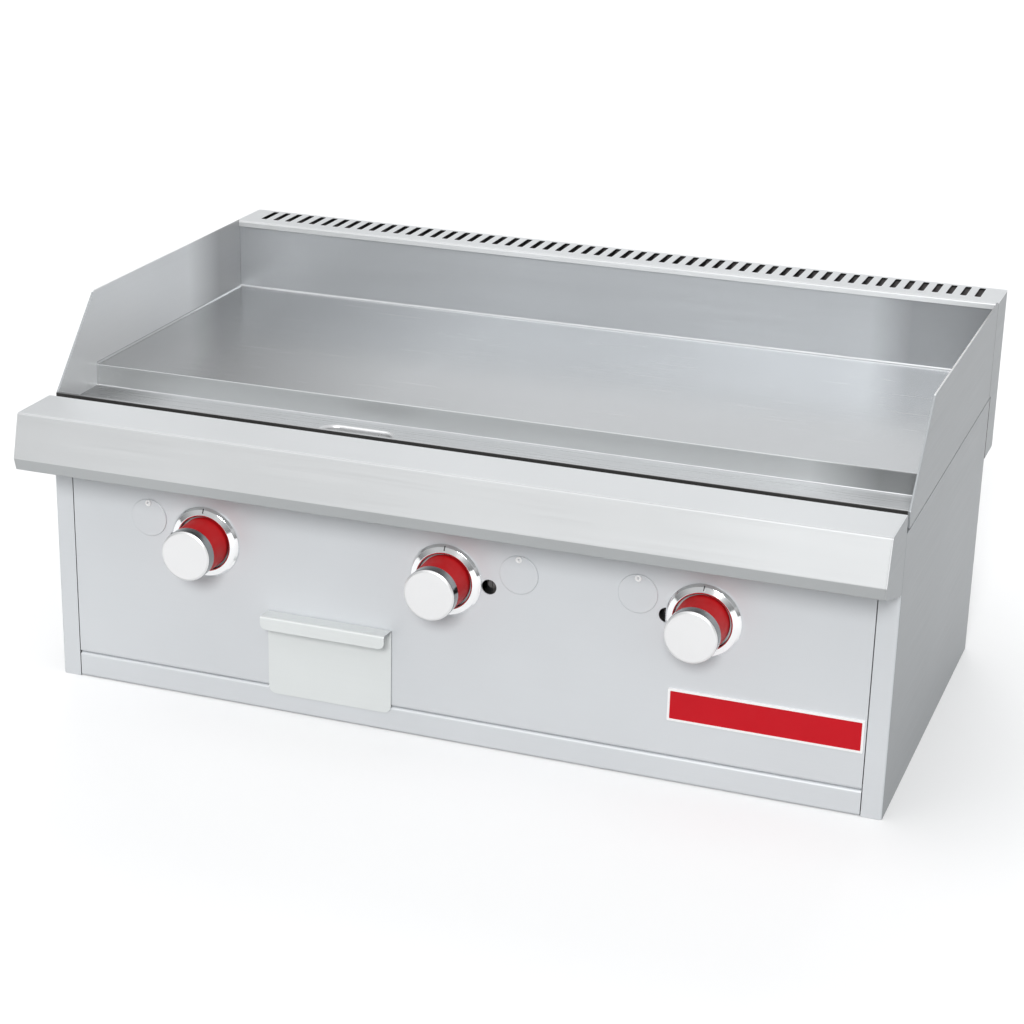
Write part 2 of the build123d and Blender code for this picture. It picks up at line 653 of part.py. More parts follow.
for number, (knob, port, pilot) in enumerate(zip(KNOB_X, PORT_X, PILOT_X), 1):
    NODES[f"burner_{number}"] = Pos(knob, 0, 0) * burner()
    NODES[f"air_shutter_{number}"] = air_shutter(knob)
    NODES[f"gas_valve_{number}"] = gas_valve(knob)
    NODES[f"valve_stem_{number}"] = valve_stem(knob)
    NODES[f"bezel_{number}"] = bezel(knob)
    NODES[f"knob_grip_{number}"] = knob_grip(knob)
    NODES[f"knob_cap_{number}"] = knob_cap(knob)
    NODES[f"port_cover_{number}"] = port_cover(port)
    NODES[f"pilot_screw_{number}"] = pilot_screw(pilot)

os.makedirs("parts", exist_ok=True)
for name, shape in NODES.items():
    export_step(shape, f"parts/{name}.step")
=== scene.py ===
"""Looks of the countertop gas griddle. Metres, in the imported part's own frame: +X right, +Y back, +Z up."""
import math

import bmesh
import bpy
from mathutils import Matrix, Vector


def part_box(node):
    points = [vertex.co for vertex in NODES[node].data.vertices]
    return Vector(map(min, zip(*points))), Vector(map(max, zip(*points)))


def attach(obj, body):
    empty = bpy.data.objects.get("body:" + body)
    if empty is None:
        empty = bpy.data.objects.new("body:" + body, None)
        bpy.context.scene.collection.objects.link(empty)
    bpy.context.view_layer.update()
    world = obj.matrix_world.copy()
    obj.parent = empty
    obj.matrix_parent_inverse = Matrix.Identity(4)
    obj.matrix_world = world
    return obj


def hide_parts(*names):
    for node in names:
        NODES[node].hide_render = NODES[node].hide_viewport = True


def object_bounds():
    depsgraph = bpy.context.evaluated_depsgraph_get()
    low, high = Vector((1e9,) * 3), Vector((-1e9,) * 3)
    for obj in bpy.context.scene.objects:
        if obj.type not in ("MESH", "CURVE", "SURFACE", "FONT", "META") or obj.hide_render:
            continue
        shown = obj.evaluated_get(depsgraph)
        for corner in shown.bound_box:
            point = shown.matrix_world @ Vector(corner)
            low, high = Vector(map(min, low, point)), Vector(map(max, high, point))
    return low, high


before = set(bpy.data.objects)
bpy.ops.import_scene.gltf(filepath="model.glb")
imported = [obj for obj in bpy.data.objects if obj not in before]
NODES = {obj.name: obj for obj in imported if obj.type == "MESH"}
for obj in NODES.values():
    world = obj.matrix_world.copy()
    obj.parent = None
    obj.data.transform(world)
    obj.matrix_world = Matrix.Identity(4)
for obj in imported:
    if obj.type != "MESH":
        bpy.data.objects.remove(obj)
CAD_LOW, CAD_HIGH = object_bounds()
MM = 0.001
KNOBS = (1, 2, 3)

# ---- planes and sizes read from the frame ----
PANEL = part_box("control_panel")[0].y
HALF = CAD_HIGH.x
BODY_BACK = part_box("left_side_panel")[1].y
BODY_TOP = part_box("left_side_panel")[1].z
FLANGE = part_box("control_panel")[0].x - CAD_LOW.x
PLATE_LOW, PLATE_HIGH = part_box("griddle_plate")
TROUGH_LOW, TROUGH_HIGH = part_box("grease_trough")
SPLASH_LOW, SPLASH_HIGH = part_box("left_splash")
RAIL_LOW, RAIL_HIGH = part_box("front_rail")
FLUE_LOW, FLUE_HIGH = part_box("flue_shell")
CAP_LOW, CAP_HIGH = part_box("vent_cap")
SHEET = 1.5 * MM
THICK_SHEET = 2 * MM
SEAM = 0.9 * MM          # open gap at a visible joint

# ---- sizes that only the looks have ----
FOLD = 1.8 * MM          # inside radius of a bend
CRISP_FOLD = 1.2 * MM    # inside radius of a sharper bend
EASE = 0.25 * MM         # width taken off a sharp edge
OVERRUN = 5 * MM         # how far a cutter passes the sheet it cuts
REAR_FLANGE = 20 * MM
BOTTOM_RETURN, TOP_RETURN = 20 * MM, 18 * MM
PORT_HOLE, STEM_HOLE, PILOT_HOLE = 12 * MM, 12 * MM, 8 * MM
PILOT_SHIFT = 4 * MM     # the photograph hides the first pilot hole behind its knob
PLATE_BEAD, TROUGH_BEAD = 2.0 * MM, 1.3 * MM
HEM_REACH, HEM_DROP, HEM_FOLD = 3.2 * MM, 9 * MM, 1.8 * MM
DRAW = 3 * MM            # radius and depth of the drawn edge of the scupper
SCUPPER_DEPTH = 22 * MM
SLOT_COUNT = 56
SLOT_PITCH = 15.67 * MM
SLOT_SIZE = (6.8 * MM, 38 * MM)
SLOT_FROM_BACK = 24 * MM
GRIP_DROP = 15 * MM      # height of the drawer's grip lip
SCREW_HEAD = 4 * MM      # radius
THREAD_PITCH, THREAD_TURNS = 1.81 * MM, 10


# ---------------------------------------------------------------- outlines
def rounded(points, radii, steps=6, closed=True):
    """Outline with its corners turned into arcs. Radii is one number or one per point."""
    count, made = len(points), []
    for i, point in enumerate(points):
        radius = radii if isinstance(radii, (int, float)) else radii[i]
        p = Vector(point)
        if radius <= 0 or (not closed and i in (0, count - 1)):
            made.append(p)
            continue
        back = (Vector(points[i - 1]) - p).normalized()
        on = (Vector(points[(i + 1) % count]) - p).normalized()
        half = back.angle(on) / 2
        centre = p + (back + on).normalized() * (radius / math.sin(half))
        start = p + back * (radius / math.tan(half)) - centre
        end = p + on * (radius / math.tan(half)) - centre
        first = math.atan2(start.y, start.x)
        sweep = (math.atan2(end.y, end.x) - first + math.pi) % (2 * math.pi) - math.pi
        for k in range(steps + 1):
            angle = first + sweep * k / steps
            made.append(centre + radius * Vector((math.cos(angle), math.sin(angle))))
    return made


def folded(line, thick, side, bend=FOLD):
    """Outline of a folded sheet that lies left of the line for side 1 and right for -1."""
    points = [Vector(p) for p in line]
    units = [(b - a).normalized() for a, b in zip(points, points[1:])]
    other, near, far = [], [], []
    for i, p in enumerate(points):
        before, after = units[max(i - 1, 0)], units[min(i, len(units) - 1)]
        n1, n2 = (Vector((-u.y, u.x)) * side for u in (before, after))
        other.append(p + (n1 + n2) * (thick / (1 + n1.dot(n2))))
        turn = (before.x * after.y - before.y * after.x) * side
        end = i in (0, len(points) - 1)
        near.append(0 if end else bend + (thick if turn > 0 else 0))
        far.append(0 if end else bend + (0 if turn > 0 else thick))
    return rounded(points + other[::-1], near + far[::-1])


def obround(x, y, long, wide, steps=16):
    """Outline with round ends, long way along the first axis."""
    r, reach, made = wide / 2, (long - wide) / 2, []
    for centre, start in ((reach, -0.5), (-reach, 0.5)):
        for k in range(steps + 1):
            angle = math.pi * (start + k / steps)
            made.append(Vector((x + centre + r * math.cos(angle), y + r * math.sin(angle))))
    return made


def disc(x, y, r, steps=64):
    """Round outline."""
    turn = 2 * math.pi / steps
    return [Vector((x + r * math.cos(turn * k), y + r * math.sin(turn * k))) for k in range(steps)]


def rectangle(x0, x1, y0, y1):
    return [Vector(p) for p in ((x0, y0), (x1, y0), (x1, y1), (x0, y1))]


# ---------------------------------------------------------------- meshes
PLACE = {
    "x": lambda p, t: (t, p[0], p[1]),
    "y": lambda p, t: (p[0], t, p[1]),
    "z": lambda p, t: (p[0], p[1], t),
}


def prism(outline, axis, a, b, into=None):
    """Straight solid with the outline as its section, from a to b along the axis."""
    bm = into or bmesh.new()
    ends = [[bm.verts.new(PLACE[axis](p, t)) for p in outline] for t in (a, b)]
    faces = [bm.faces.new(ends[0]), bm.faces.new(ends[1])]
    for i in range(len(outline)):
        j = (i + 1) % len(outline)
        faces.append(bm.faces.new((ends[0][i], ends[0][j], ends[1][j], ends[1][i])))
    bmesh.ops.recalc_face_normals(bm, faces=faces)
    return bm


def slab(x0, x1, y0, y1, z0, z1, into=None):
    return prism(rectangle(x0, x1, y0, y1), "z", z0, z1, into)


def lathe(profile, x, z, segments=128, loop=False, into=None):
    """Solid turned about the Y axis through (x, z). The profile is a list of (radius, y)."""
    bm = into or bmesh.new()
    rings = []
    turn = 2 * math.pi / segments
    for r, y in profile:
        spots = [turn * k for k in range(segments if r > 1e-7 else 1)]
        rings.append([bm.verts.new((x + r * math.cos(a), y, z + r * math.sin(a))) for a in spots])
    faces = []
    for a, b in zip(rings, rings[1:] + (rings[:1] if loop else [])):
        for k in range(segments):
            n = (k + 1) % segments
            if len(a) == 1 and len(b) > 1:
                faces.append(bm.faces.new((a[0], b[n], b[k])))
            elif len(b) == 1 and len(a) > 1:
                faces.append(bm.faces.new((a[k], a[n], b[0])))
            elif len(a) > 1:
                faces.append(bm.faces.new((a[k], a[n], b[n], b[k])))
    bmesh.ops.recalc_face_normals(bm, faces=faces)
    return bm


def as_object(bm, name):
    mesh = bpy.data.meshes.new(name)
    bm.to_mesh(mesh)
    bm.free()
    made = bpy.data.objects.new(name, mesh)
    bpy.context.scene.collection.objects.link(made)
    return made


def carved(bm, cutter):
    """What is left of bm outside the cutter."""
    work, tool = as_object(bm, "work"), as_object(cutter, "tool")
    cut = work.modifiers.new("cut", "BOOLEAN")
    cut.operation, cut.solver, cut.object = "DIFFERENCE", "EXACT", tool
    result = bmesh.new()
    result.from_object(work, bpy.context.evaluated_depsgraph_get())
    for o in (work, tool):
        bpy.data.objects.remove(o)
    return result


def eased(bm, width, angle=35, segments=2):
    """Takes the sharpness off every edge steeper than the angle."""
    bmesh.ops.remove_doubles(bm, verts=bm.verts, dist=0.002 * MM)
    bmesh.ops.dissolve_limit(bm, angle_limit=math.radians(0.3), verts=bm.verts, edges=bm.edges)
    limit = math.radians(angle)
    sharp = [e for e in bm.edges if len(e.link_faces) == 2 and e.calc_face_angle(0) > limit]
    bmesh.ops.bevel(bm, geom=sharp, offset=width, segments=segments, profile=0.6, affect="EDGES",
                    clamp_overlap=True)
    return bm


def piece(bm, name, material, body="root", ease=EASE, replaces=(), smooth=48, other=()):
    """Finished piece of the object: eased edges, shading, material and the body it rides on.

    Other holds pairs of a further material and the test of the faces that take it. A later pair wins."""
    if ease:
        eased(bm, ease)
    for face in bm.faces:
        face.smooth = True
    for edge in bm.edges:
        edge.smooth = edge.calc_face_angle(0) < math.radians(smooth)
    made = as_object(bm, name)
    made.data.materials.append(material)
    for index, (extra, test) in enumerate(other, 1):
        made.data.materials.append(extra)
        for face in made.data.polygons:
            if test(face):
                face.material_index = index
    normals = made.modifiers.new("normals", "WEIGHTED_NORMAL")
    normals.keep_sharp = True
    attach(made, body)
    if replaces:
        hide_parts(*replaces)
    return made


def mirrored(bm):
    """The same piece for the other side of the object."""
    bmesh.ops.scale(bm, vec=(-1, 1, 1), verts=bm.verts)
    bmesh.ops.reverse_faces(bm, faces=bm.faces)
    return bm


# ---------------------------------------------------------------- materials
class Shader:
    """One Principled material, built node by node."""

    def __init__(self, name, colour, metallic=0.0, rough=0.5, **sockets):
        self.material = bpy.data.materials.new(name)
        self.material.use_nodes = True
        self.tree = self.material.node_tree
        self.bsdf = self.tree.nodes["Principled BSDF"]
        self.set("Base Color", (*colour, 1))
        self.set("Metallic", metallic)
        self.set("Roughness", rough)
        for socket, value in sockets.items():
            self.set(socket.replace("_", " "), value)
        self.coords = self.tree.nodes.new("ShaderNodeTexCoord").outputs["Object"]
        self.height = None

    def set(self, socket, value):
        self.bsdf.inputs[socket].default_value = value

    def link(self, a, b):
        self.tree.links.new(a, b)

    def noise(self, scale, stretch=(1, 1, 1), detail=3, rough=0.55):
        mapping = self.tree.nodes.new("ShaderNodeMapping")
        mapping.inputs["Scale"].default_value = stretch
        self.link(self.coords, mapping.inputs["Vector"])
        noise = self.tree.nodes.new("ShaderNodeTexNoise")
        noise.inputs["Scale"].default_value = scale
        noise.inputs["Detail"].default_value = detail
        noise.inputs["Roughness"].default_value = rough
        self.link(mapping.outputs["Vector"], noise.inputs["Vector"])
        return noise.outputs["Fac"]

    def ranged(self, value, low, high, start=0.3, end=0.7):
        node = self.tree.nodes.new("ShaderNodeMapRange")
        for socket, number in zip(("From Min", "From Max", "To Min", "To Max"), (start, end, low, high)):
            node.inputs[socket].default_value = number
        self.link(value, node.inputs["Value"])
        return node.outputs["Result"]

    def added(self, a, b, share):
        """a times its share plus b."""
        node = self.tree.nodes.new("ShaderNodeMath")
        node.operation = "MULTIPLY_ADD"
        self.link(a, node.inputs[0])
        node.inputs[1].default_value = share
        self.link(b, node.inputs[2])
        return node.outputs[0]

    def mixed(self, fac, first, second):
        node = self.tree.nodes.new("ShaderNodeMix")
        node.data_type = "RGBA"
        self.link(fac, node.inputs[0])
        node.inputs[6].default_value = (*first, 1)
        node.inputs[7].default_value = (*second, 1)
        return node.outputs[2]

    def faded(self, output, colour, axis, dark_end, clear_end):
        """The output, turning into another colour towards one end of an axis: a painted reflection gradient.
        """
        split = self.tree.nodes.new("ShaderNodeSeparateXYZ")
        self.link(self.coords, split.inputs[0])
        node = self.tree.nodes.new("ShaderNodeMix")
        node.data_type = "RGBA"
        self.link(self.ranged(split.outputs["xyz".index(axis)], 0, 1, dark_end, clear_end), node.inputs[0])
        node.inputs[6].default_value = (*colour, 1)
        self.link(output, node.inputs[7])
        return node.outputs[2]

    def bump(self, value, distance, strength=1.0):
        node = self.tree.nodes.new("ShaderNodeBump")
        node.inputs["Distance"].default_value = distance
        node.inputs["Strength"].default_value = strength
        self.link(value, node.inputs["Height"])
        if self.height is not None:
            self.link(self.height, node.inputs["Normal"])
        self.height = node.outputs["Normal"]
        self.link(self.height, self.bsdf.inputs["Normal"])

    def colour(self, output):
        self.link(output, self.bsdf.inputs["Base Color"])

    def rough(self, output):
        self.link(output, self.bsdf.inputs["Roughness"])


def shade(colour, factor):
    return tuple(min(1, c * factor) for c in colour)


def steel(name, colour, rough, grain="x", depth=0.02 * MM, metallic=0.8, contrast=0.05, painted_reflection=None):
    """Brushed sheet: fine scratches along one axis over slow changes of tone and gloss.

    The last argument paints a reflection gradient into the colour: how dark the sheet turns, the axis, where
    it is darkest and where it is clear again."""
    s = Shader(name, colour, metallic, rough)
    stretch = {"x": (5, 650, 650), "y": (650, 5, 650), "z": (650, 650, 5), "none": (240, 240, 240)}[grain]
    lines = s.noise(1.0, stretch, detail=4, rough=0.7)
    clouds = s.noise(5.0, detail=2)
    tone = s.added(lines, s.ranged(clouds, 0.0, 0.5), 0.5)
    sheet = s.mixed(tone, shade(colour, 1 - contrast), shade(colour, 1 + contrast))
    s.colour(s.faded(sheet, shade(colour, painted_reflection[0]), *painted_reflection[1:]) if painted_reflection else sheet)
    s.rough(s.ranged(lines, rough - 0.05, rough + 0.06))
    s.bump(lines, depth, 0.5)
    return s.material


def plated(name, colour, rough, metallic=1.0):
    """Plated or turned metal: even colour with faint wipe marks in its gloss."""
    s = Shader(name, colour, metallic, rough)
    s.rough(s.ranged(s.noise(47, detail=3), rough * 0.85, rough * 1.2))
    s.colour(s.mixed(s.noise(13), shade(colour, 0.98), shade(colour, 1.02)))
    return s.material


def plastic(name, colour, rough):
    """Moulded red with a fine grain."""
    s = Shader(name, colour, 0.0, rough, Specular_IOR_Level=0.25)
    s.colour(s.mixed(s.noise(25), shade(colour, 0.93), shade(colour, 1.06)))
    s.rough(s.ranged(s.noise(90), rough - 0.05, rough + 0.06))
    s.bump(s.noise(900), 0.012 * MM, 0.4)
    return s.material


def make_materials():
    return {
        # Stainless tones: lit and shaded copies of one steel, painted per face direction.
        "body": steel("steel_body", (0.64, 0.66, 0.68), 0.45, metallic=0.3),
        # Side: a darker painted-shade copy for faces turned away from the light.
        "side": steel("steel_side_painted_shade", (0.37, 0.387, 0.40), 0.42, "y", metallic=0.5),
        # Rail: a lighter painted-light copy for the rail's top; face and underside are darker painted-shade
        # copies.
        "rail": steel("steel_rail", (0.88, 0.895, 0.905), 0.42, metallic=0.6),
        "face": steel("steel_rail_face_painted_shade", (0.57, 0.58, 0.585), 0.46, metallic=0.6),
        "under": steel("steel_rail_under_painted_shade", (0.44, 0.455, 0.46), 0.42, metallic=0.6),
        # Splash: a lighter copy, with a painted reflection that darkens it towards the back.
        "splash": steel("steel_splash", (0.95, 0.96, 0.97), 0.34, "y", metallic=0.55,
                        painted_reflection=(0.5, "y", 0.18, 0.10)),
        # Backsplash: a darker painted-shade copy, with a painted reflection that darkens it towards its right
        # end.
        "backsplash": steel("steel_backsplash", (0.405, 0.42, 0.435), 0.36, metallic=0.7,
                            painted_reflection=(0.6, "x", 0.365, 0.32)),
        # Plate: a painted reflection darkens it towards its left end.
        "plate": steel("steel_plate", (0.92, 0.935, 0.95), 0.22, depth=0.008 * MM, metallic=0.9,
                       contrast=0.03, painted_reflection=(0.5, "x", -0.42, -0.12)),
        # Trough: a painted reflection darkens it towards its left end.
        "trough": steel("steel_trough", (0.66, 0.67, 0.68), 0.30, metallic=0.6,
                        painted_reflection=(0.35, "x", -0.43, -0.35)),
        # Front face of the plate: darker tone, with a painted reflection that darkens it towards its right
        # end.
        "cut": steel("steel_cut_edge", (0.45, 0.465, 0.47), 0.42, metallic=0.6,
                     painted_reflection=(0.45, "x", 0.41, 0.34)),
        "bright": plated("steel_bright", (0.80, 0.805, 0.81), 0.3, 0.7),
        "weld": plated("steel_weld", (0.56, 0.57, 0.58), 0.38, 0.7),
        "drawer": steel("steel_drawer", (0.72, 0.745, 0.74), 0.45, metallic=0.35),
        "inner": steel("steel_inner", (0.36, 0.37, 0.38), 0.55, "none"),
        # Dark burner steel; also painted shade on the pilot screws and valves and inside the flue.
        "burner": steel("steel_burner_and_painted_shade", (0.16, 0.15, 0.15), 0.6, "none", 0.06 * MM, 0.8, 0.2),
        "chrome": plated("chrome", (0.90, 0.905, 0.91), 0.10),
        # Band: a dark copy of chrome, standing in for a painted dark reflection.
        "band": plated("chrome_band_painted_reflection", (0.34, 0.355, 0.36), 0.14),
        "satin": plated("chrome_satin", (0.80, 0.80, 0.803), 0.34, 0.7),
        "brass": plated("brass", (0.72, 0.50, 0.22), 0.3),
        # Black iron for the pipes; also painted shade on the trough's hem front.
        "iron": steel("black_iron_and_painted_shade", (0.035, 0.034, 0.033), 0.5, "none", 0.05 * MM, 0.4, 0.3),
        "grip": plastic("grip_red", (0.62, 0.006, 0.010), 0.5),
        "enamel": plastic("enamel_red", (0.55, 0.006, 0.014), 0.35),
        # Black for the printed index mark, and painted shade in the bezel bore and the vent slots.
        "mark": plated("mark_and_painted_shade_black", (0.01, 0.01, 0.01), 0.5, 0.0),
        "rivet": plated("rivet_white", (0.92, 0.92, 0.92), 0.35, 0.2),
    }


LOOK = make_materials()


# ---------------------------------------------------------------- body
def make_side(right):
    """Side panel folded from one sheet: front flange, rear flange, and the top and bottom returns."""
    name = "right_side_panel" if right else "left_side_panel"
    plan = [(-HALF + FLANGE - SEAM, PANEL), (-HALF, PANEL), (-HALF, BODY_BACK),
            (-HALF + REAR_FLANGE, BODY_BACK)]
    bm = prism(folded(plan, SHEET, -1), "z", 0, BODY_TOP)
    inner = -HALF + SHEET
    for low, wide in ((0, BOTTOM_RETURN), (BODY_TOP - SHEET, TOP_RETURN)):
        slab(inner, inner + wide, PANEL + SHEET, BODY_BACK - SHEET, low, low + SHEET, into=bm)
    if right:
        mirrored(bm)
    # Painted shade: the sheet takes the darker side copy, and only its front flange the lighter front tone.
    flange = (LOOK["body"], lambda face: face.normal.y < -0.5)
    piece(bm, name + "_sheet", LOOK["side"], replaces=[name], other=[flange])


def make_control_panel():
    """Panel sheet with the drawer's window and the holes for stems, lighting ports and pilot screws."""
    low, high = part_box("control_panel")
    line = [(PANEL + 12 * MM, low.z), (PANEL, low.z), (PANEL, high.z), (PANEL + 9 * MM, high.z)]
    bm = prism(folded(line, SHEET, -1), "x", low.x, high.x)
    pan_low, pan_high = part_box("drawer_pan")
    gap = 3 * MM
    opening = rectangle(pan_low.x - gap, pan_high.x + gap, low.z - gap, pan_high.z + gap)
    window = rounded(opening, [0, 0, 2 * MM, 2 * MM])
    front = PANEL - OVERRUN
    cutter = prism(window, "y", front, PANEL + 14 * MM)
    for i in KNOBS:
        stem, port = middle(f"valve_stem_{i}"), middle(f"port_cover_{i}")
        pilot = middle(f"pilot_screw_{i}")
        if i == 1:
            pilot.x += PILOT_SHIFT
        for spot, r in ((stem, STEM_HOLE), (port, PORT_HOLE), (pilot, PILOT_HOLE)):
            prism(disc(spot.x, spot.z, r), "y", front, PANEL + OVERRUN, into=cutter)
    bm = carved(bm, cutter)
    piece(bm, "control_panel_sheet", LOOK["body"], replaces=["control_panel"])


def middle(name):
    """Middle of a CAD node's box."""
    low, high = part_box(name)
    return (low + high) / 2


def make_kick_strip():
    """Folded strip below the panel's seam."""
    low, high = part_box("kick_strip")
    line = [(PANEL + 20 * MM, 0), (PANEL, 0), (PANEL, high.z), (PANEL + 10 * MM, high.z)]
    bm = prism(folded(line, SHEET, -1), "x", low.x, high.x)
    piece(bm, "kick_strip_sheet", LOOK["body"], replaces=["kick_strip"])


def rail_line():
    """Section of the front rail's hood from its rear lip over the nose to the panel."""
    rear = RAIL_HIGH.y - 0.5 * MM
    top, nose, low = RAIL_HIGH.z, RAIL_LOW.y, RAIL_LOW.z
    return [
        (rear, BODY_TOP),
        (rear, top),
        (nose + 12 * MM, top),
        (nose, low + 35 * MM),
        (nose + 4 * MM, low + 22 * MM),
        (RAIL_HIGH.y - 6 * MM, low),
        (RAIL_HIGH.y - SEAM, low),
    ]


def make_rail():
    """Hood of the front rail and its two end caps."""
    wide = HALF - SHEET
    bm = prism(folded(rail_line(), SHEET, 1, bend=CRISP_FOLD), "x", -wide, wide)
    # Painted light and shade: the top takes the lighter rail copy, the front face and the underside darker
    # copies.
    tones = [(LOOK["face"], lambda face: face.normal.y < -0.5),
             (LOOK["under"], lambda face: face.normal.z < -0.1)]
    piece(bm, "front_rail_sheet", LOOK["rail"], replaces=["front_rail"], other=tones)
    outline = rail_line()[:-1] + [(RAIL_HIGH.y, RAIL_LOW.z), (RAIL_HIGH.y, BODY_TOP)]
    shape = rounded(outline, [0] + [2.7 * MM] * 4 + [0, 0, 0])
    bm = prism(shape, "x", -HALF, -wide)
    prism(shape, "x", wide, HALF, into=bm)
    # Painted shade: the end caps' outward faces take the darker side copy.
    outward = (LOOK["side"], lambda face: abs(face.normal.x) > 0.7)
    piece(bm, "rail_ends", LOOK["rail"], ease=0.5 * MM, replaces=["rail_end_caps"],
          other=tones + [outward])


# ---------------------------------------------------------------- cooking top
def quarter_turn(steps=6):
    return [math.pi / 2 * k / steps for k in range(steps + 1)]


def bead(axis, a, b, corner, p, q, size, into=None):
    """Ground weld fillet: a concave three-sided strip in the corner, reaching size along p and q.

    Its root is sunk into the corner."""
    c, p, q = Vector(corner), Vector(p) * size, Vector(q) * size
    hollow = [c + p + q - p * math.sin(t) - q * math.cos(t) for t in quarter_turn()]
    return prism([c - (p + q) * 0.15] + hollow, axis, a, b, into)


def make_plate():
    """Thick plate with a cut front edge, and the weld beads around it."""
    low, high = PLATE_LOW, PLATE_HIGH
    outline = rounded(rectangle(low.y, high.y, low.z, high.z), [1 * MM, 0, 0, 1.3 * MM], steps=5)
    bm = prism(outline, "x", low.x, high.x)
    # The front face takes the darker cut-face tone, with its painted reflection gradient.
    piece(bm, "plate_slab", LOOK["plate"], ease=0.3 * MM, replaces=["griddle_plate"],
          other=[(LOOK["cut"], lambda face: face.normal.y < -0.7)])
    top, floor = high.z, TROUGH_LOW.z + THICK_SHEET
    welds = bead("x", low.x, high.x, (high.y, top), (-1, 0), (0, 1), PLATE_BEAD)
    for x, inward in ((low.x, 1), (high.x, -1)):
        bead("y", low.y + 1 * MM, high.y, (x, top), (inward, 0), (0, 1), PLATE_BEAD, into=welds)
    bead("x", low.x, high.x, (low.y, floor), (-1, 0), (0, 1), TROUGH_BEAD, into=welds)
    piece(welds, "plate_welds", LOOK["weld"], ease=0)


def make_trough():
    """Folded channel with a hemmed front wall and a drawn drain hole."""
    low, high = TROUGH_LOW, TROUGH_HIGH
    wall, floor = low.y + 0.6 * MM, low.z + THICK_SHEET
    inside = wall + THICK_SHEET
    top = high.z - 0.2 * MM
    hem, tip, under = wall - HEM_REACH, top - HEM_DROP, top - HEM_FOLD
    outline = rounded([(hem, tip), (hem, top), (inside, top), (inside, floor), (PLATE_LOW.y, floor),
                       (PLATE_LOW.y, low.z), (wall, low.z), (wall, under), (hem + HEM_FOLD, under),
                       (hem + HEM_FOLD, tip)],
                      [0, 0.8 * MM, 1.6 * MM, 2 * MM, 0, 0, 4 * MM, 0, 0, 0])
    bm = prism(outline, "x", low.x, high.x)
    hole = middle("grease_chute")
    chute_low, chute_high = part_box("grease_chute")
    long, wide = (side - 4 * MM for side in (chute_high.x - chute_low.x, chute_high.y - chute_low.y))
    drawn = obround(hole.x, hole.y, long + 2 * DRAW, wide + 2 * DRAW)
    cutter = prism(drawn, "z", low.z - OVERRUN, high.z)
    # Painted shade: front-facing faces of the hem and front wall are near black, standing in for the dark gap
    # behind the rail.
    hem_painted_shade = (LOOK["iron"], lambda face: face.normal.y < -0.6)
    piece(carved(bm, cutter), "trough_sheet", LOOK["trough"], ease=0.2 * MM, replaces=["grease_trough"],
          other=[hem_painted_shade])
    rings = bmesh.new()
    section = [(DRAW * (1 - math.sin(t)), -DRAW * (1 - math.cos(t))) for t in quarter_turn()]
    section += [(0, -SCUPPER_DEPTH), (1.2 * MM, -SCUPPER_DEPTH), (1.2 * MM, -4 * MM), (DRAW, -THICK_SHEET)]
    loops = []
    for out, drop in section:
        loop = obround(hole.x, hole.y, long + 2 * out, wide + 2 * out)
        loops.append([rings.verts.new((p.x, p.y, floor + drop)) for p in loop])
    for a, b in zip(loops, loops[1:] + loops[:1]):
        for k in range(len(a)):
            n = (k + 1) % len(a)
            rings.faces.new((a[k], a[n], b[n], b[k]))
    bmesh.ops.recalc_face_normals(rings, faces=rings.faces)
    piece(rings, "scupper_lip", LOOK["bright"], ease=0)


def make_splash(right):
    """Side splash with a sloping front."""
    name = "right_splash" if right else "left_splash"
    low, high = SPLASH_LOW, SPLASH_HIGH
    front = low.y
    foot = low.z + SEAM
    outline = [(front + 2 * MM, foot), (front, foot + 18 * MM), (PLATE_LOW.y, high.z),
               (high.y, high.z), (high.y, foot)]
    bm = prism(rounded(outline, [1 * MM, 3 * MM, 5 * MM, 0, 0]), "x", -HALF, -HALF + THICK_SHEET)
    if right:
        mirrored(bm)
    # Painted shade: the outward face and the sloping front edge take the darker side copy.
    outward = (LOOK["side"], lambda face: face.normal.x * (1 if right else -1) > 0.7)
    front_edge = (LOOK["side"], lambda face: face.normal.y < -0.6)
    piece(bm, name + "_sheet", LOOK["splash"], ease=0.5 * MM, replaces=[name],
          other=[outward, front_edge])


def make_flue():
    """Backsplash, and the flue box behind it with its two closed ends."""
    low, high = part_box("backsplash")
    bm = slab(low.x, high.x, low.y, high.y, low.z, high.z)
    # Painted shade: the backsplash's back face, inside the flue box, is painted dark.
    flue_painted_shade = (LOOK["burner"], lambda face: face.normal.y > 0.7)
    piece(bm, "backsplash_sheet", LOOK["backsplash"], replaces=["backsplash"],
          other=[flue_painted_shade])
    lip, foot, top = BODY_BACK + SHEET, FLUE_LOW.z + 16 * MM, FLUE_HIGH.z
    line = [(lip, FLUE_LOW.z), (lip, foot), (FLUE_HIGH.y, foot), (FLUE_HIGH.y, top)]
    bm = prism(folded(line, SHEET, 1), "x", -HALF + SHEET, HALF - SHEET)
    front = SPLASH_HIGH.y + SEAM
    end = [(BODY_BACK + SEAM, foot), (FLUE_HIGH.y, foot), (FLUE_HIGH.y, top), (front, top),
           (front, BODY_TOP + SEAM), (BODY_BACK + SEAM, BODY_TOP + SEAM)]
    outline = rounded(end, [1 * MM, 3 * MM, 1 * MM, 0, 0, 0])
    prism(outline, "x", -HALF, -HALF + SHEET, into=bm)
    prism(outline, "x", HALF - SHEET, HALF, into=bm)
    # Painted shade: faces turned to the front inside the flue are painted dark, and the sheet takes the
    # darker side copy.
    flue_painted_shade = (LOOK["burner"], lambda face: face.normal.y < -0.7)
    piece(bm, "flue_sheet", LOOK["side"], ease=0.3 * MM, replaces=["flue_shell"],
          other=[flue_painted_shade])


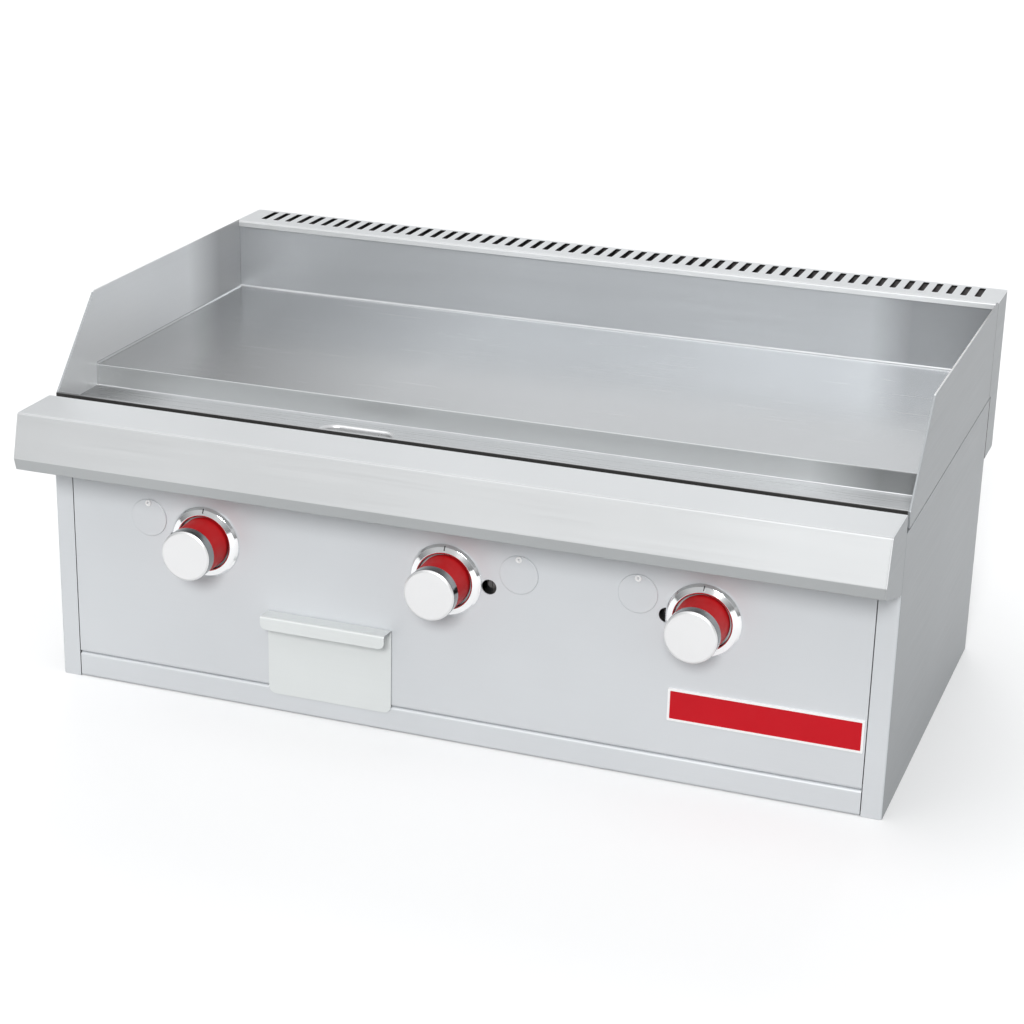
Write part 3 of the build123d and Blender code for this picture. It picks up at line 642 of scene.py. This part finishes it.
def make_vent_cap():
    """Slotted cap with a narrow front lip that hangs between the splashes."""
    low, high = CAP_LOW, CAP_HIGH
    line = [(low.y, low.z), (low.y, high.z), (high.y, high.z)]
    bm = prism(folded(line, SHEET, -1, bend=1 * MM), "x", low.x, high.x)
    across, deep = (s / 2 for s in SLOT_SIZE)
    cutter = bmesh.new()
    for i in range(SLOT_COUNT):
        x, y = SLOT_PITCH * (i - (SLOT_COUNT - 1) / 2), high.y - SLOT_FROM_BACK
        shape = rounded(rectangle(x - across, x + across, y - deep, y + deep), 1.5 * MM, steps=4)
        prism(shape, "z", low.z, high.z + OVERRUN, into=cutter)
    splash = HALF - THICK_SHEET - 0.3 * MM
    for x0, x1 in ((-HALF - OVERRUN, -splash), (splash, HALF + OVERRUN)):
        slab(x0, x1, low.y - OVERRUN, SPLASH_HIGH.y + 0.3 * MM, low.z - OVERRUN, high.z + OVERRUN,
             into=cutter)

    def in_slot(face):
        across_row = abs(face.center.x) < SLOT_PITCH * SLOT_COUNT / 2
        along_row = abs(face.center.y - high.y + SLOT_FROM_BACK) < deep + MM
        return abs(face.normal.z) < 0.5 and across_row and along_row

    # Painted shade: the lip takes the darker rail face copy, and the slot walls are painted black.
    lip = (LOOK["face"], lambda face: face.normal.y < -0.5)
    slot_painted_shade = (LOOK["mark"], in_slot)
    piece(carved(bm, cutter), "vent_cap_sheet", LOOK["rail"], ease=0.2 * MM, replaces=["vent_cap"],
          other=[lip, slot_painted_shade])


# ---------------------------------------------------------------- controls
def make_knob(i):
    """Dished ring, red drum and bright cap.

    The profiles are lists of radius and reach from the panel, in millimetres."""
    low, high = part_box(f"bezel_{i}")
    x, z = (low.x + high.x) / 2, (low.z + high.z) / 2

    def turned(profile, radii, loop=False):
        spots = rounded(profile, radii, steps=5, closed=loop)
        return lathe([(r * MM, PANEL - reach * MM) for r, reach in spots], x, z, loop=loop)

    ring = turned([(37.9, 0), (39, 0.5), (39, 1.6), (36.6, 4.2), (31.2, 6.5), (29.6, 5.9), (29.6, 0)],
                  [0, 0.3, 0.6, 1.6, 0.9, 0.4, 0], loop=True)
    # Painted shade: the ring's inner faces are painted black for the dark gap round the drum.
    bore = (LOOK["mark"], lambda face: math.hypot(face.center.x - x, face.center.z - z) < 30 * MM)
    piece(ring, f"bezel_ring_{i}", LOOK["chrome"], ease=0, replaces=[f"bezel_{i}"],
          other=[bore])
    half = 0.55 * MM
    mark = slab(x - half, x + half, PANEL - 6.4 * MM, PANEL - 3 * MM, z + 33.4 * MM, z + 37.6 * MM)
    for vert in mark.verts:
        if vert.co.z > z + 36 * MM and vert.co.y < PANEL - 5 * MM:
            vert.co.y = PANEL - 3.6 * MM
    piece(mark, f"bezel_mark_{i}", LOOK["mark"], ease=0.1 * MM)
    drum = turned([(0, 7), (9, 7), (9, 23), (24.5, 23), (24.5, 1), (27.2, 1), (27.5, 2.2), (26.9, 35),
                   (0, 35)],
                  [0, 0.5, 1, 1, 0.3, 0.3, 0.8, 0.35, 0])
    piece(drum, f"knob_drum_{i}", LOOK["grip"], f"knob_{i}", ease=0, replaces=[f"knob_grip_{i}"])
    band = turned([(0, 35), (26.9, 35), (27.3, 35.5), (27.3, 46.6), (25.2, 48.2), (0, 48.8)],
                  [0, 0.2, 0.3, 1.2, 2.5, 0])
    front = (LOOK["satin"], lambda face: face.normal.y < -0.5)
    # The band takes the dark chrome copy, a painted dark reflection; its front face is satin.
    piece(band, f"knob_band_{i}", LOOK["band"], f"knob_{i}", ease=0, replaces=[f"knob_cap_{i}"],
          other=[front])


def make_port_cover(i):
    """Swing disc with a rolled edge on a hollow rivet."""
    low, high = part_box(f"port_cover_{i}")
    x, z, r = (low.x + high.x) / 2, (low.z + high.z) / 2, (high.x - low.x) / 2
    front, back = low.y, high.y
    pivot_low, pivot_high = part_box("cover_rivets")
    pivot = (pivot_low.z + pivot_high.z) / 2
    edge = [(0, front), (r - 0.5 * MM, front), (r, front + 0.4 * MM), (r, back), (0, back)]
    bm = carved(lathe(edge, x, z), prism(disc(x, pivot, 2.5 * MM, 32), "y", front - MM, back + MM))
    piece(bm, f"port_disc_{i}", LOOK["body"], f"port_cover_{i}", ease=0.12 * MM, replaces=[f"port_cover_{i}"])
    eyelet = rounded([(1.3, 3), (1.3, -2.7), (3.3, -2.9), (3.5, -1.8), (2.4, -1.75), (2.4, 3)],
                     [0, 0.3, 0.5, 0.1, 0, 0], steps=4)
    bm = lathe([(a * MM, PANEL + b * MM) for a, b in eyelet], x, pivot, 48, loop=True)
    piece(bm, f"cover_eyelet_{i}", LOOK["rivet"], ease=0, replaces=["cover_rivets"])


def make_nameplate():
    """Blank plate: a red enamel field inside a bright raised border."""
    low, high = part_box("nameplate")
    front = low.y
    outer = rounded(rectangle(low.x, high.x, low.z, high.z), 1.2 * MM, steps=4)
    rim = 2.4 * MM
    inner = rounded(rectangle(low.x + rim, high.x - rim, low.z + rim, high.z - rim), 0.8 * MM, steps=4)
    bm = carved(prism(outer, "y", front, high.y), prism(inner, "y", front - MM, front + 0.7 * MM))
    piece(bm, "nameplate_border", LOOK["rivet"], ease=0.2 * MM, replaces=["nameplate"])
    field = prism(inner, "y", front + 0.35 * MM, front + 0.8 * MM)
    piece(field, "nameplate_field", LOOK["enamel"], ease=0.1 * MM)


# ---------------------------------------------------------------- grease drawer
def make_drawer():
    """Folded drawer front with a grip lip, and the pan behind it."""
    low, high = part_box("drawer_front")
    back = high.y
    face = back - SHEET
    lip = low.y + SHEET
    grip = high.z - GRIP_DROP
    line = [(face, low.z), (face, high.z - SHEET - 0.9 * MM), (lip, high.z - SHEET), (lip, grip)]
    bm = prism(folded(line, SHEET, -1, bend=CRISP_FOLD), "x", low.x, high.x)
    for level, radius in ((low.z, 8.5 * MM), (grip, 7 * MM)):
        corners = [e for e in bm.edges if all(abs(v.co.z - level) < 1e-5 for v in e.verts)
                   and abs(e.verts[0].co.x - e.verts[1].co.x) < 1e-6]
        bmesh.ops.bevel(bm, geom=corners, offset=radius, segments=8, profile=0.5, affect="EDGES")
    # Painted shade: the side and bottom edges take the darker side copy, drawing a dark outline round the
    # drawer.
    edges = (LOOK["side"], lambda face: abs(face.normal.x) > 0.9 or face.normal.z < -0.9)
    piece(bm, "drawer_face", LOOK["drawer"], "grease_drawer", ease=0.5 * MM, replaces=["drawer_front"],
          other=[edges])
    low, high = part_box("drawer_pan")
    skin = 1.2 * MM
    outer = rounded(rectangle(low.x, high.x, low.y, high.y), 6 * MM)
    hollow = rounded(rectangle(low.x + skin, high.x - skin, low.y + skin, high.y - skin), 5 * MM)
    bm = carved(prism(outer, "z", low.z, high.z), prism(hollow, "z", low.z + skin, high.z + 5 * MM))
    piece(bm, "drawer_tray", LOOK["drawer"], "grease_drawer", replaces=["drawer_pan"])


# ---------------------------------------------------------------- back of the griddle
def make_rear_panel():
    """Flat rear sheet with a clearance hole for the supply pipe."""
    low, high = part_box("rear_panel")
    pipe_low, pipe_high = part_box("supply_pipe")
    x, z = (pipe_low.x + pipe_high.x) / 2, (pipe_low.z + pipe_high.z) / 2
    clear = (pipe_high.x - pipe_low.x) / 2 + 2 * MM
    hole = prism(disc(x, z, clear), "y", high.y - 2 * OVERRUN, high.y + OVERRUN)
    sheet = slab(low.x, high.x, high.y - SHEET, high.y, low.z, high.z)
    # Painted shade: the rear sheet takes the darker side copy.
    piece(carved(sheet, hole), "rear_panel_sheet", LOOK["side"], replaces=["rear_panel"])


def make_rear_screws():
    """Domed heads with a cross recess. Corners are the recess's outline in millimetres."""
    low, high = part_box("rear_screws")
    bm, recess = bmesh.new(), bmesh.new()
    r = SCREW_HEAD
    corners = [(2.2, 0.45), (0.45, 0.45), (0.45, 2.2), (-0.45, 2.2), (-0.45, 0.45), (-2.2, 0.45),
               (-2.2, -0.45), (-0.45, -0.45), (-0.45, -2.2), (0.45, -2.2), (0.45, -0.45), (2.2, -0.45)]
    for z in (low.z + r, (low.z + high.z) / 2, high.z - r):
        for x in (low.x + r, high.x - r):
            profile = [(0, high.y - 3 * MM), (r, high.y - 3 * MM), (r, high.y - 1.6 * MM), (0, high.y)]
            lathe(rounded(profile, [0, 0, 1.2 * MM, 0], closed=False), x, z, 40, into=bm)
            cross = [(x + a * MM, z + b * MM) for a, b in corners]
            prism(cross, "y", high.y - 1.4 * MM, high.y + r, into=recess)
    piece(carved(bm, recess), "rear_screw_heads", LOOK["bright"], ease=0.08 * MM, replaces=["rear_screws"])


def make_supply_pipe():
    """Black pipe with a cut thread on its inlet end."""
    low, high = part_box("supply_pipe")
    x, z, r = (low.x + high.x) / 2, (low.z + high.z) / 2, (high.x - low.x) / 2
    bore, root, crest = 10.5 * MM, 12.0 * MM, 13.1 * MM
    start = high.y - 20 * MM
    profile = [(bore, low.y), (r, low.y), (r, start - 0.5 * MM)]
    for k in range(THREAD_TURNS):
        profile += [(root, start + THREAD_PITCH * (k + 0.3)), (crest, start + THREAD_PITCH * (k + 0.85))]
    profile += [(root + 0.4 * MM, high.y), (bore, high.y)]
    piece(lathe(profile, x, z, 64, loop=True), "supply_pipe_tube", LOOK["iron"], ease=0,
          replaces=["supply_pipe"], smooth=30)


# ---------------------------------------------------------------- CAD nodes that stay
KEPT_LOOKS = {
    "inner": ("base_pan", "heat_shield", "front_bearer", "rear_bearer", "burner_rest", "drawer_runners",
              "pipe_clamps", "grease_chute", "pilot_tubes", *(f"air_shutter_{i}" for i in KNOBS)),
    # Pilot screws and valves take the dark burner steel: painted shade that keeps the pilot holes dark.
    "burner": (*(f"burner_{i}" for i in KNOBS), "pilot_burners", "pilot_valves",
               *(f"pilot_screw_{i}" for i in KNOBS)),
    "iron": ("manifold_pipe",),
    "brass": (*(f"gas_valve_{i}" for i in KNOBS), *(f"valve_stem_{i}" for i in KNOBS)),
}


def finish_kept_nodes():
    """Materials and softened edges for the CAD nodes that stay as they are."""
    for look, names in KEPT_LOOKS.items():
        for name in names:
            node = NODES[name]
            node.data.materials.clear()
            node.data.materials.append(LOOK[look])
            weld = node.modifiers.new("weld", "WELD")
            weld.merge_threshold = 0.005 * MM
            edge = node.modifiers.new("edge", "BEVEL")
            edge.width, edge.segments, edge.limit_method = 0.2 * MM, 2, "ANGLE"
            edge.angle_limit = math.radians(50)
            node.modifiers.new("normals", "WEIGHTED_NORMAL").keep_sharp = True


# ---------------------------------------------------------------- stage and light
def sun(name, place, energy, angle):
    """Sun that shines from a place towards the object."""
    data = bpy.data.lights.new(name, "SUN")
    data.energy, data.angle = energy, angle
    made = bpy.data.objects.new(name, data)
    made.location = place
    made.rotation_euler = (-Vector(place)).to_track_quat("-Z", "Y").to_euler()
    bpy.context.scene.collection.objects.link(made)
    return made


def make_camera():
    """View from the front right and above."""
    yaw, pitch, roll = 0.358, -0.374, 0.018
    ahead = Vector((-math.sin(yaw) * math.cos(pitch), math.cos(yaw) * math.cos(pitch), math.sin(pitch)))
    level = ahead.cross(Vector((0, 0, 1))).normalized()
    above = level.cross(ahead)
    right = math.cos(roll) * level + math.sin(roll) * above
    up = math.cos(roll) * above - math.sin(roll) * level
    data = bpy.data.cameras.new("camera")
    data.sensor_width = 36
    data.lens = 85.08
    data.shift_x, data.shift_y = 0.041, 0.047
    data.clip_start, data.clip_end = 0.05, 50
    camera = bpy.data.objects.new("camera", data)
    turn = Matrix((right, up, -ahead)).transposed().to_4x4()
    camera.matrix_world = Matrix.Translation((0.81812, -2.35037, 1.10111)) @ turn
    bpy.context.scene.collection.objects.link(camera)
    bpy.context.scene.camera = camera


SKY_LOW, SKY_HIGH = 0.18, 0.58   # strength at the horizon and from 0.3 up
SKY_SHOWN = 0.95                 # strength the camera sees
FLAG_DEPTH = 0.65


def make_sky():
    """Pale sky, dimmer towards the horizon and behind a dark flag at the back left."""
    world = bpy.data.worlds.new("studio")
    bpy.context.scene.world = world
    world.use_nodes = True
    tree = world.node_tree
    new, link = tree.nodes.new, tree.links.new

    def ranged(value, start, end, low, high):
        node = new("ShaderNodeMapRange")
        for socket, number in zip(("From Min", "From Max", "To Min", "To Max"), (start, end, low, high)):
            node.inputs[socket].default_value = number
        link(value, node.inputs["Value"])
        return node.outputs["Result"]

    def times(a, b):
        node = new("ShaderNodeMath")
        node.operation = "MULTIPLY"
        link(a, node.inputs[0])
        link(b, node.inputs[1])
        return node.outputs[0]

    split = new("ShaderNodeSeparateXYZ")
    link(new("ShaderNodeTexCoord").outputs["Generated"], split.inputs[0])
    x, y, z = split.outputs
    flag = times(ranged(x, -0.50, -0.32, 1, 0), ranged(y, 0.5, 0.7, 0, FLAG_DEPTH))
    sky = times(ranged(z, 0, 0.3, SKY_LOW, SKY_HIGH), ranged(flag, 0, 1, 1, 0))
    shown = new("ShaderNodeMix")
    link(new("ShaderNodeLightPath").outputs["Is Camera Ray"], shown.inputs[0])
    link(sky, shown.inputs[2])
    shown.inputs[3].default_value = SKY_SHOWN
    background = tree.nodes["Background"]
    background.inputs[0].default_value = (0.975, 0.988, 1, 1)
    link(shown.outputs[0], background.inputs[1])


def make_stage():
    """Pale paper floor that gives no diffuse bounce, the sky and three soft suns."""
    bpy.ops.mesh.primitive_plane_add(size=120, location=(0, 0, CAD_LOW.z - 0.3 * MM))
    floor = bpy.context.object
    floor.name = "floor"
    paper = Shader("paper", (0.92, 0.92, 0.92), 0.0, 0.8)
    paper.rough(paper.ranged(paper.noise(3), 0.75, 0.85))
    floor.data.materials.append(paper.material)
    floor.visible_diffuse = False
    make_sky()
    sun("overhead", (-0.9, -0.9, 3.0), 0.6, 1.0)
    sun("front", (0.5, -2.6, 1.45), 2.3, 0.3)
    sun("behind", (-0.8, 2.6, 1.4), 0.9, 0.8).visible_glossy = False


make_camera()
for right_side in (False, True):
    make_side(right_side)
    make_splash(right_side)
make_control_panel()
make_kick_strip()
make_rail()
make_plate()
make_trough()
make_flue()
make_vent_cap()
for number in KNOBS:
    make_knob(number)
    make_port_cover(number)
make_nameplate()
make_drawer()
make_rear_panel()
make_rear_screws()
make_supply_pipe()
finish_kept_nodes()
make_stage()
bpy.context.scene.view_settings.view_transform = "Standard"
